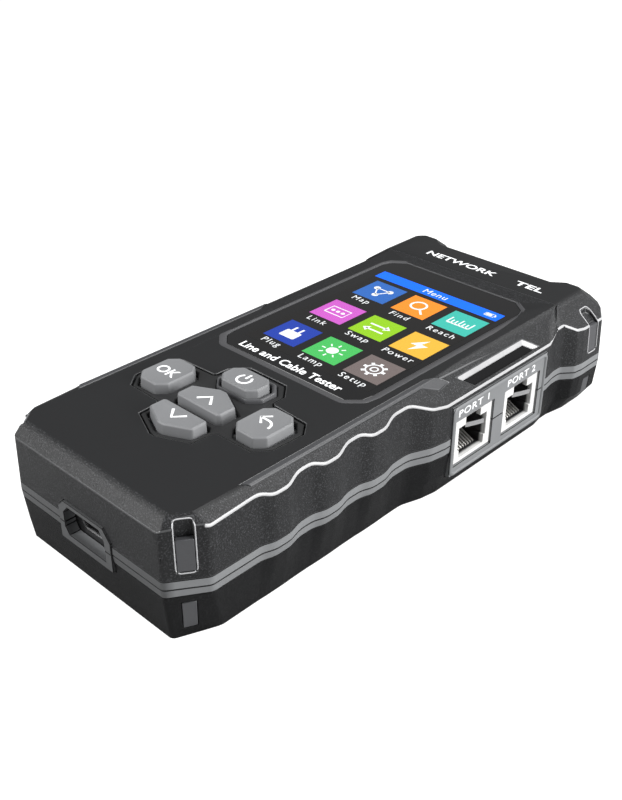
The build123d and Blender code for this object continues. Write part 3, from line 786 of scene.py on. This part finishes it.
def icon_symbols(column, row, x, y):
    """White symbol in the middle of a display icon."""
    thin, wide = 0.42, 0.65
    hubs = [(x - 2.4, y + 1.7), (x + 2.4, y + 1.7), (x, y - 2.2)]
    table = {
        (0, 0): [disc(*hub, 1.0) for hub in hubs] + [stroke(run, thin) for run in zip(hubs, hubs[1:] + hubs)],
        (1, 0): [hoop(x - 0.6, y + 0.7, 2.3, wide), stroke([(x + 1.2, y - 1.1), (x + 3.3, y - 3.3)], wide)],
        (2, 0): [stroke([(x - 3.6, y - 1.4), (x + 3.6, y - 1.4)], wide)]
                + [stroke([(x + i * 1.2, y - 1.4), (x + i * 1.2, y + (1.9 if i % 3 == 0 else 0.7))], thin)
                   for i in range(-3, 4)],
        (0, 1): [stroke(block(x - 3.3, x + 3.3, y - 2.0, y + 2.0) + [(x - 3.3, y - 2.0)], thin)]
                + [disc(x + i * 1.8, y, 0.62) for i in (-1, 0, 1)],
        (1, 1): [stroke([(x - 3.2, y + 1.1), (x + 2.6, y + 1.1)], wide),
                 [(x + 3.6, y + 1.1), (x + 1.8, y + 2.6), (x + 1.8, y - 0.2)],
                 stroke([(x + 3.2, y - 1.7), (x - 2.6, y - 1.7)], wide),
                 [(x - 3.6, y - 1.7), (x - 1.8, y - 3.1), (x - 1.8, y - 0.3)]],
        (2, 1): [[(x + 0.9, y + 3.7), (x - 2.4, y - 0.5), (x - 0.2, y - 0.5), (x - 0.9, y - 3.7),
                  (x + 2.4, y + 0.7), (x + 0.2, y + 0.7)]],
        (0, 2): [rounded(block(x - 2.6, x + 2.6, y - 2.9, y + 0.9), 0.5)]
                + [stroke([(x + side, y + 0.9), (x + side, y + 3.2)], wide) for side in (-1.2, 1.2)],
        (1, 2): [disc(x, y, 1.7), *rays(x, y, 2.4, 3.6, thin)],
        (2, 2): [hoop(x, y, 2.3, thin), hoop(x, y, 1.0, thin), *rays(x, y, 2.4, 3.4, 0.9)],
    }
    return table[column, row]


ICON_COLOURS = [
    [(0.026, 0.127, 0.456), (0.913, 0.262, 0.021), (0.045, 0.456, 0.376)],
    [(0.552, 0.100, 0.520), (0.262, 0.546, 0.013), (0.753, 0.430, 0.045)],
    [(0.013, 0.045, 0.352), (0.061, 0.456, 0.102), (0.156, 0.127, 0.122)],
]
ICON_WORDS = [["Map", "Find", "Reach"], ["Link", "Swap", "Power"], ["Plug", "Lamp", "Setup"]]


# ---- operators


CARRIED = {
    "lens": ["screen_lens", "status_window"],
    "foam": ["lens_gasket", "battery_foam"],
    "glass": ["lcd_glass"],
    "pressed": ["lcd_frame"],
    "amber": ["lcd_tail"],
    "stems": ["ok_stem", "back_stem", "power_stem", "up_stem", "down_stem"],
    "silicone": ["keypad_mat"],
    "steel": ["snap_domes", "board_screws", "case_screws", "usb_shell"],
    "board": ["main_board", "usb_board"],
    "chip": ["processor", "signal_chips", "line_transformers", "buzzer"],
    "emitter": ["status_leds"],
    "contacts": ["side_jack_1_contacts", "side_jack_2_contacts", "end_jack_contacts", "phone_jack_contacts"],
    "insulator": ["usb_tongue"],
    "foil": ["battery_cell"],
    "cream": ["battery_plug"],
    "lead": ["battery_leads"],
    "rating": ["rating_plate"],
}


class TESTER_OT_finishes(Operator):
    """Makes every finish, and gives one to each node that is carried over from the frame."""

    bl_idname = "tester.finishes"
    bl_label = "Make Finishes"

    def execute(self, context):
        make_finishes(context.scene.tester_colours)
        for name, nodes in CARRIED.items():
            for node in nodes:
                data = NODES[node].data
                data.materials.clear()
                data.materials.append(FINISHES[name])
        return {"FINISHED"}


class TESTER_OT_case(Operator):
    """Rounded case shells, seam bands, side strips and corner inlays."""

    bl_idname = "tester.case"
    bl_label = "Build Case"

    def execute(self, context):
        sizes = context.scene.tester_sizes
        edge, trim = sizes.case_edge, sizes.trim_edge
        # Bright edges on the right-hand flank take a pale finish that paints their highlight.
        kinds = {"wide": (sizes.case_round, None), "bright": (sizes.flank_edge, "flank")}
        softened("front_shell", edge, "case", "case_edge", kinds=kinds)
        softened("rear_shell", edge, "lower_case", "lower_case", kinds={"wide": (edge, None)})
        for node, look, edge_look in (
                ("upper_band", "trim", "seam"), ("lower_band", "trim", "seam"),
                ("left_strip", "strip", "strip"), ("right_strip", "strip", "strip"),
                ("upper_inlays", "inlay", "inlay"), ("lower_inlays", "inlay", "inlay")):
            softened(node, trim, look, edge_look)
        return {"FINISHED"}


# Upright corner slots and the two lines of the window's bevel, in millimetres.
SLOT_HALF_WIDTH, SLOT_CORNER, RIM_RADIUS = 2.3, 1.2, 0.15
SLOT_RIMS = {
    "near": {"middle": (29.6, -75.3), "outward": NEAR_SLOT_OUTWARD, "low": 18.6, "high": 31.4},
    "head": {"middle": (38.4, 68.15), "outward": (1.0, 0.0), "low": 18.6, "high": 30.75},
}
WINDOW_OUTER = [(32.15, 12.2), (32.15, 40.35), (34.75, 44.5)]
WINDOW_INNER = [(32.62, 13.0), (32.62, 40.15), (34.75, 43.55)]
WINDOW_DROPS, WINDOW_BEVEL_THICKNESS = (0.05, 0.8), 0.25


def slot_rim(side, middle, outward, low, high):
    """Raised rounded lip round an upright slot, whose pale finish paints its highlight: a rounded rectangle
    thrown onto the case.

    The rectangle stands square to the outward direction, clear of the case, and each of its points
    goes straight inwards to the case's surface.
    """
    clearance = 8
    outline = rounded(block(-SLOT_HALF_WIDTH, SLOT_HALF_WIDTH, low, high), SLOT_CORNER, steps=8)
    stretches = [np.linspace(a, b, 8, endpoint=False) for a, b in zip(outline, np.roll(outline, -1, 0))]
    outline = np.concatenate(stretches)
    out = np.array([side * outward[0], outward[1], 0])
    across = np.array([-out[1], out[0], 0])
    start = np.array([side * middle[0], middle[1], 0]) + out * clearance + outline[:, :1] * across
    start[:, 2] = outline[:, 1]
    path, normals = on_case(start, -out)
    return tube(path, normals, RIM_RADIUS)


def window_bevel():
    """Bevel on two sides of the status window's recess, in the pale flank finish that paints its highlight: a
    strip between two lines that drop below the 45 degree slope by their own amounts, with a thickness below
    it."""
    lines = np.array(WINDOW_OUTER + WINDOW_INNER)
    heights = FACE_TOP - (lines[:, 0] - FLANK_FOLD) - np.repeat(WINDOW_DROPS, 3)
    top = np.column_stack([lines, heights])
    points = np.concatenate([top, top - (0, 0, WINDOW_BEVEL_THICKNESS)])
    faces = [(0, 3, 4, 1), (1, 4, 5, 2), (6, 7, 10, 9), (7, 8, 11, 10), (0, 1, 7, 6), (1, 2, 8, 7),
             (2, 5, 11, 8), (5, 4, 10, 11), (4, 3, 9, 10), (3, 0, 6, 9)]
    return points, faces


class TESTER_OT_rims(Operator):
    """Lips of the upper corner slots and the bevel of the status window's recess, both in pale finishes that
    paint their highlights.
    """

    bl_idname = "tester.rims"
    bl_label = "Build Rims"

    def execute(self, context):
        for place, values in SLOT_RIMS.items():
            for side, hand in ((1, "right"), (-1, "left")):
                piece(f"slot_rim_{place}_{hand}", slot_rim(side, **values), "painted_rim_highlight")
        # The window bevel's pale flank finish is a painted highlight.
        piece("window_bevel", window_bevel(), "flank", smooth=False)
        return {"FINISHED"}


class TESTER_OT_keypad(Operator):
    """Keypad plate, power collar, five dished keycaps and their symbols."""

    bl_idname = "tester.keypad"
    bl_label = "Build Keypad"

    def execute(self, context):
        sizes = context.scene.tester_sizes
        softened("keypad_plate", sizes.trim_edge * 2, "plain", "seam")
        low, high = (corner.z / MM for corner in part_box("power_collar"))
        outer = rounded(POWER_COLLAR, KEY_CORNER)
        inner = inset(rounded(POWER_KEY, KEY_CORNER), -POWER_GAP)
        section = [(0, low), (0, high - 0.55), (0.12, high - 0.16), (0.34, high), (0.66, high),
                   (0.88, high - 0.16), (1, high - 0.5), (1, low)]
        piece("power_collar_ring", ring(outer, inner, section), "collar",
              replaces=("power_collar",))
        for name, corners in KEYCAPS.items():
            low, high = (corner.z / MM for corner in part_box(f"{name}_key"))
            rows = key_profile(low + SKIRT_BOTTOM, high, sizes.key_round / MM, sizes.key_dish / MM)
            piece(f"{name}_keycap", tower(corners, KEY_CORNER, rows), "keys",
                  body=f"{name}_button", replaces=(f"{name}_key",))
            x, y = np.mean(corners, 0)
            top = high - sizes.key_dish / MM
            if name == "ok":
                words("ok_legend", "OK", 4.6 * MM, (x, y, top + INK / 2), "ink",
                      body="ok_button", bold=0.06)
                continue
            shapes = {
                "power": power_symbol(x, y - 0.3, 1.9),
                "up": chevron(x, y - 0.2, 2.4, 2.7),
                "down": chevron(x, y + 0.2, 2.4, -2.7),
                "back": return_symbol(x, y + 0.4, 2.6),
            }[name]
            piece(f"{name}_legend", symbol(shapes, top), "ink", body=f"{name}_button",
                  smooth=False)
        return {"FINISHED"}


class TESTER_OT_display(Operator):
    """Lens surround and the display's picture: title bar, nine icons, their symbols and captions."""

    bl_idname = "tester.display"
    bl_label = "Build Display"

    def execute(self, context):
        sizes = context.scene.tester_sizes
        lens = rounded(LENS, 1.4)
        section = [(0, FACE_TOP - 0.3), (0, FACE_TOP + 0.02), (0.12, FACE_TOP + 0.10),
                   (0.55, FACE_TOP + 0.10), (0.7, FACE_TOP + 0.04), (1, LENS_TOP + 0.03),
                   (1, LENS_TOP - 0.3)]
        piece("lens_surround", ring(inset(lens, -1.9), inset(lens, 0.1), section), "lens_frame")
        x0, x1, y0, y1 = DISPLAY
        base = LENS_TOP + 0.01
        white = lit("picture_white", (0.85, 0.87, 0.88))

        def layer(name, outline, low, high, colour):
            """Flat area of the picture between two heights over the lens."""
            piece(name, plate(outline, base + low, base + high), colour, smooth=False)

        layer("picture_ground", block(x0, x1, y0, y1), 0, 0.02,
              lit("picture_dark", (0.010, 0.0095, 0.0095), 0.3))
        layer("picture_title", block(x0, x1, y1 - TITLE_HEIGHT, y1), 0.02, 0.035,
              lit("picture_blue", (0.001, 0.13, 0.95), 0.6))
        glyph_z = base + 0.05
        marks = []
        for row in range(3):
            for column in range(3):
                x = ICON_MIDDLE[0] + (column - 1) * ICON_PITCH[0]
                y = ICON_MIDDLE[1] - (row - 1) * ICON_PITCH[1]
                w, h = ICON_SIZE
                tile = block(x - w / 2, x + w / 2, y - h / 2, y + h / 2)
                place = f"{row + 1}{column + 1}"
                layer(f"icon_{place}", tile, 0.02, 0.04,
                      lit(f"icon_colour_{place}", ICON_COLOURS[row][column]))
                marks += icon_symbols(column, row, x, y)
                words(f"caption_{place}", ICON_WORDS[row][column], sizes.caption_size,
                      (x + CAPTION_SHIFT[0], y + CAPTION_SHIFT[1], glyph_z), white, spacing=1.25)
        battery = x1 - 3.4
        marks += [stroke(block(battery - 1.6, battery + 1.4, y1 - 3.1, y1 - 1.5)
                         + [(battery - 1.6, y1 - 3.1)], 0.25),
                  block(battery + 1.5, battery + 1.9, y1 - 2.7, y1 - 1.9),
                  block(battery - 1.3, battery + 0.6, y1 - 2.8, y1 - 1.8)]
        piece("icon_symbols", symbol(marks, base + 0.04), white, smooth=False)
        words("title_word", "Menu", 3.6 * MM, ((x0 + x1) / 2 - 0.6, y1 - 2.3, glyph_z), white,
              spacing=1.1)
        words("lens_line", "Line and Cable Tester", sizes.label_size, (-0.5, y0 - 3.6, LENS_TOP + INK),
              "ink", width=35.4, bold=0.06)
        return {"FINISHED"}


# The side frame's border along Y, and a contact clip's line: depth behind the mouth, place along Y.
FRAME_SPAN = (6.1, 47.9)
CLIP_BEND = [(0.5, 5.5), (0.9, 4.4), (1.5, 2.8), (2.6, 0.3)]
CLIP_BELOW, CLIP_WIDTH = 6.3, 1.4


class TESTER_OT_sockets(Operator):
    """Socket housings with rounded mouths and the raised border of the side frame."""

    bl_idname = "tester.sockets"
    bl_label = "Build Sockets"

    def execute(self, context):
        edge = context.scene.tester_sizes.trim_edge
        for node in ("side_jack_1", "side_jack_2", "end_jack", "phone_jack"):
            face = "side_socket" if node.startswith("side") else "end_socket"
            softened(node, edge * 1.4, face, face, name=f"{node}_housing", angle=40)
        _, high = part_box("side_jack_1")
        mouth, shoulder = high.x / MM, high.z / MM - CLIP_BELOW
        for index, y in enumerate(JACK_MIDDLES):
            bend = [(mouth - depth, y + along) for depth, along in CLIP_BEND]
            piece(f"side_socket_{index + 1}_clip", plate(stroke(bend, 0.25), shoulder, shoulder + CLIP_WIDTH),
                  "steel", smooth=False)
        bottom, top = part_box("lower_band")[0].z / MM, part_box("upper_band")[1].z / MM
        outer = rounded(block(*FRAME_SPAN, bottom + 0.1, top - 0.1), 1.8)
        section = [(0, PANEL_OUT - 0.4), (0, PANEL_OUT + 0.2), (0.3, PANEL_OUT + 0.4), (0.7, PANEL_OUT + 0.4),
                   (1, PANEL_OUT + 0.1), (1, PANEL_OUT - 0.4)]
        points, faces = ring(outer, inset(outer, 1.0), section)
        piece("side_frame_border", (on_side(points), faces), "trim")
        softened("usb_bezel", edge, "plain", "case_edge", name="port_rim_skin")
        return {"FINISHED"}


class TESTER_OT_labels(Operator):
    """Plain function words on the ridge and over the side sockets."""

    bl_idname = "tester.labels"
    bl_label = "Build Labels"

    def execute(self, context):
        size = context.scene.tester_sizes.label_size
        top = RIDGE_TOP + INK / 2
        words("ridge_word_network", "NETWORK", size, (-6.5, 64.6, top), "ink",
              width=25.0, bold=0.07)
        words("ridge_word_tel", "TEL", size, (18.0, 64.6, top), "ink", width=9.5,
              bold=0.07)
        for index, y in enumerate(JACK_MIDDLES):
            words(f"side_word_{index + 1}", f"PORT {index + 1}", 2.8 * MM, (PANEL_OUT + INK, y - 0.9, 22.9),
                  "panel_ink", turn=on_side, width=12.8, bold=0.04, spacing=1.12)
        return {"FINISHED"}


def area_light(name, place, target, size, power):
    """Soft square light that looks at a point."""
    data = bpy.data.lights.new(name, "AREA")
    data.shape = "RECTANGLE"
    data.size, data.size_y = size
    data.energy = power
    lamp = bpy.data.objects.new(name, data)
    bpy.context.scene.collection.objects.link(lamp)
    lamp.location = place
    lamp.rotation_euler = (Vector(target) - Vector(place)).to_track_quat("-Z", "Y").to_euler()


# Each light: place, the point it looks at, its two sides in metres, and its power in watts.
LIGHTS = {
    "top_softbox": ((0.22, 0.28, 0.62), (0, 0, 0.02), (0.6, 0.6), 6.0),
    "side_softbox": ((0.62, 0.16, 0.20), (0, 0, 0.02), (0.30, 0.26), 5.0),
    "near_softbox": ((-0.20, -0.36, 0.28), (-0.10, -0.20, 0.0), (0.30, 0.30), 2.4),
}
FLOOR_REACH, FLOOR_DROP, FLOOR_SEEN = 8.0, 0.02 * MM, 0.84
WORLD_LIGHT = 0.26
CAMERA_PLACE, CAMERA_TURN, CAMERA_LENS = (0.16608, -0.17987, 0.16213), (59.12, 0.0, 43.95), 47.62


def seen_or_lighting(tree, lighting, seen):
    """Strength that the camera sees as one value, while every other ray meets another."""
    path = tree.nodes.new("ShaderNodeLightPath")
    return ranged(tree.nodes, tree.links, path.outputs["Is Camera Ray"], lighting, seen)


class TESTER_OT_stage(Operator):
    """Pale floor, soft studio light and the camera."""

    bl_idname = "tester.stage"
    bl_label = "Build Stage"

    def execute(self, context):
        scene = context.scene
        mesh = bpy.data.meshes.new("floor")
        corners = block(-FLOOR_REACH, FLOOR_REACH, -FLOOR_REACH, FLOOR_REACH)
        mesh.from_pydata([(x, y, 0) for x, y in corners], [], [(0, 1, 2, 3)])
        floor = bpy.data.objects.new("floor", mesh)
        scene.collection.objects.link(floor)
        floor.location.z = -FLOOR_DROP
        paper = finish("studio_paper", (0.34, 0.34, 0.34), 0.9, tone=0.01, grain=300.0, bump=0.02,
                       specular=0.1)
        tree = paper.node_tree
        shader = tree.nodes["Principled BSDF"]
        shader.inputs["Emission Color"].default_value = (1, 1, 1, 1)
        tree.links.new(seen_or_lighting(tree, 0.0, FLOOR_SEEN), shader.inputs["Emission Strength"])
        mesh.materials.append(paper)
        world = bpy.data.worlds.new("studio")
        world.use_nodes = True
        tree = world.node_tree
        background = tree.nodes["Background"]
        background.inputs["Color"].default_value = (1, 1, 1, 1)
        tree.links.new(seen_or_lighting(tree, WORLD_LIGHT, 1.0), background.inputs["Strength"])
        scene.world = world
        for name, values in LIGHTS.items():
            area_light(name, *values)
        data = bpy.data.cameras.new("camera")
        data.sensor_width = 36.0
        data.lens = CAMERA_LENS
        camera = bpy.data.objects.new("camera", data)
        scene.collection.objects.link(camera)
        camera.location = CAMERA_PLACE
        camera.rotation_euler = [math.radians(angle) for angle in CAMERA_TURN]
        scene.camera = camera
        scene.view_settings.view_transform = "Standard"
        return {"FINISHED"}


class TESTER_PT_sidebar(Panel):
    """Lists the steps that build the tester."""

    bl_label = "Cable Tester"
    bl_idname = "TESTER_PT_sidebar"
    bl_space_type = "VIEW_3D"
    bl_region_type = "UI"
    bl_category = "Tester"

    def draw(self, context):
        for step in STEPS:
            self.layout.operator(step.bl_idname)
        for group_name in ("tester_sizes", "tester_colours"):
            settings = getattr(context.scene, group_name)
            for prop in settings.bl_rna.properties:
                if not prop.is_readonly and prop.identifier != "name":
                    self.layout.prop(settings, prop.identifier)


STEPS = (TESTER_OT_finishes, TESTER_OT_case, TESTER_OT_rims, TESTER_OT_keypad, TESTER_OT_display,
         TESTER_OT_sockets, TESTER_OT_labels, TESTER_OT_stage)
CLASSES = (TesterSizes, TesterColours, *STEPS, TESTER_PT_sidebar)


def register():
    """Adds the classes and the scene's settings."""
    for cls in CLASSES:
        bpy.utils.register_class(cls)
    bpy.types.Scene.tester_sizes = PointerProperty(type=TesterSizes)
    bpy.types.Scene.tester_colours = PointerProperty(type=TesterColours)


def unregister():
    """Takes away what register added."""
    del bpy.types.Scene.tester_colours
    del bpy.types.Scene.tester_sizes
    for cls in reversed(CLASSES):
        bpy.utils.unregister_class(cls)


def main():
    """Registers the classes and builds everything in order."""
    register()
    bpy.ops.tester.finishes()
    bpy.ops.tester.case()
    bpy.ops.tester.rims()
    bpy.ops.tester.keypad()
    bpy.ops.tester.display()
    bpy.ops.tester.sockets()
    bpy.ops.tester.labels()
    bpy.ops.tester.stage()


if __name__ == "__main__":
    main()
